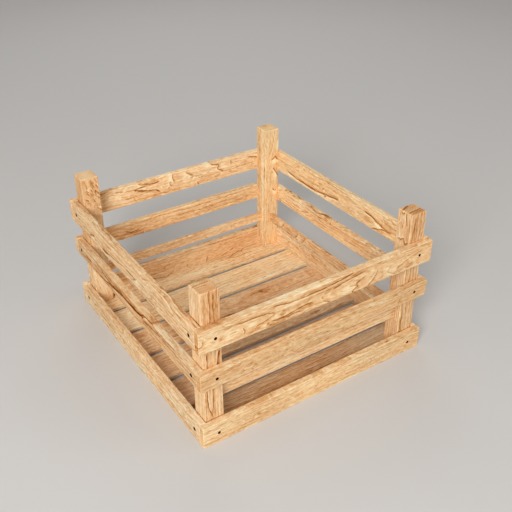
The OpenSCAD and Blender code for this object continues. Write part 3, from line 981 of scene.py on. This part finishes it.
wood("post_back_right", "z", pith=(34, -30), spacing=6.4, seed=16.7,
     waviness=3.0, curls=0.2, contrast=0.20, sway=1.5,
     tint=(1.05, 1.09, 1.08),
     # the shade at v -19 paints the face towards -X darker and more orange: painted shade on that side of the
     # post
     shades=[(74, 9, 5, 8, -1.3), (41, 9, 8, 5, -1.3), (-4, 8, 4, 5, -0.9), (108, 14, 10, 4, -0.6),
             (133, 6, 14, 3, -0.6), (90, -2, 8, 4, 0.3), (0, -19, 400, 5, 0.12)],
     side_shades=[(-20, -7, 120, 3.5, -0.6), (60, 10, 80, 5, 0.35), (-110, 4, 30, 8, 0.4)],
     side_lines=[(0.8, 0.28, (150, 4), (80, 3), (10, 5), (-70, 3)),
                 (0.8, 0.22, (130, -11), (40, -12), (-60, -11))],
     lines=[
         (1.3, 1.00, (79, -1), (81, 4), (86, 9), (80, 12), (76, 17)),
         (1.3, 1.00, (57, 3), (55, 6), (50, 9), (45, 12), (37, 16)),
         (1.2, 0.85, (6, 1), (4, 4), (2, 6), (-1, 8.5), (2, 12)),
         (1.1, 0.60, (92, -4), (105, -0.5), (125, 3), (147, 7.5)),
         (1.4, 0.55, (46, 1), (50, 2)),
     ])
# inner rails
wood("rail_front", "x", pith=(20, 10), spacing=8.0, seed=17.2, contrast=0.45)
wood("rail_back", "x", pith=(-20, 10), spacing=8.0, seed=18.9, contrast=0.45)
wood("rail_left", "y", pith=(20, 10), spacing=8.0, seed=19.3, contrast=0.45)
wood("rail_right", "y", pith=(-20, 10), spacing=8.0, seed=20.1,
     contrast=0.45,
     shades=[(165, 0, 8, 8, -0.5), (130, 0, 18, 9, 0.5), (95, -2, 6, 6, -0.6), (64, 2, 6, 6, -0.5)],
     lines=[(1.3, 0.60, (172, -9), (160, -2), (152, 8)), (1.3, 0.60, (112, -8), (104, 0), (100, 8)),
            (1.2, 0.50, (84, -8), (78, 0), (72, 8))])
# floor boards: v and w of the pith, the tint, the shade, shades and lines on their tops. The darker tints and
# shades of the front boards and the paler ones of the back boards, and some top shades that darken the boards
# towards the front and the left, are painted shadow of the crate's walls and painted light, over the boards'
# own tone
BOARDS = (
    (-26, -45, (0.64, 0.57, 0.54), 0.2,
     [(-75, 12, 20, 5, 0.5), (0, -3, 300, 4, 0.4), (-100, 26, 60, 5, -0.4), (205, 0, 110, 70, -0.9)], []),
    (-30, 42, (0.72, 0.65, 0.63), 0.1, [], []),
    (-24, -58, (0.84, 0.81, 0.82), 0.0, [], []),
    (-44, 12, (0.97, 0.93, 0.93), 0.0,
     [(-10, -15, 50, 7, 0.5), (110, 15, 100, 6, 0.25), (120, -5, 90, 5, -0.3)],
     [(1.3, 0.50, (80, -2), (120, -6), (160, -3), (220, 0))]),
    (-30, -50, (1.11, 1.16, 1.19), -0.3, [(128, -31, 16, 3, -1.2), (-150, 0, 40, 60, 0.3)],
     [(1.4, 0.60, (112, -30), (122, -27), (130, -32))]),
    (-26, 44, (1.10, 1.12, 1.12), -0.1, [(-75, 20, 20, 8, 0.5), (-10, -14, 70, 10, -0.25)],
     [
         (1.7, 0.90, (-196, 2), (-192, 9), (-188, 19)),
         (1.3, 0.60, (-96, 27), (-84, 19), (-72, 14), (-64, 9)),
         (1.3, 0.65, (-68, 18), (-61, 14), (-54, 15)),
         (1.2, 0.50, (-58, 16), (-48, 19), (-36, 28)),
         (1.3, 0.60, (44, 17), (48, 24), (56, 33)),
         (1.3, 0.60, (94, 2), (105, 6), (115, 10), (124, 12)),
         (1.5, 0.80, (120, 12), (131, 15), (136, 12), (141, 17), (150, 20)),
         (1.1, 0.45, (140, 17), (152, 20), (166, 21), (192, 21)),
         (1.3, 0.60, (82, 17), (100, 24), (115, 29), (128, 34)),
         (1.3, 0.50, (2, 10), (-5, 20), (0, 32)),
     ]),
)
# spacing of the boards' rings in mm, the first board's seed, and the step from each seed to the next
BOARD_RINGS = 8.6
FIRST_SEED = 21.4
SEED_STEP = 1.7
for i, (v, w, tint, shade, top_shades, top_lines) in enumerate(BOARDS):
    wood(f"floor_board_{i + 1}", "x", pith=(v, w), spacing=BOARD_RINGS, seed=FIRST_SEED + SEED_STEP * i,
         curls=0.2, contrast=0.34, tint=tint, shades=[(0, 0, 900, 900, shade)],
         side_shades=top_shades, side_lines=top_lines)

NAIL = nail_material()
for side in ("front", "back", "left", "right"):
    dress("nails_" + side, NAIL)

studio_floor()
studio_world()
for name, (place, size, power) in LAMPS.items():
    studio_light(name, place, size, power)
studio_camera()

bpy.context.scene.view_settings.view_transform = "Standard"
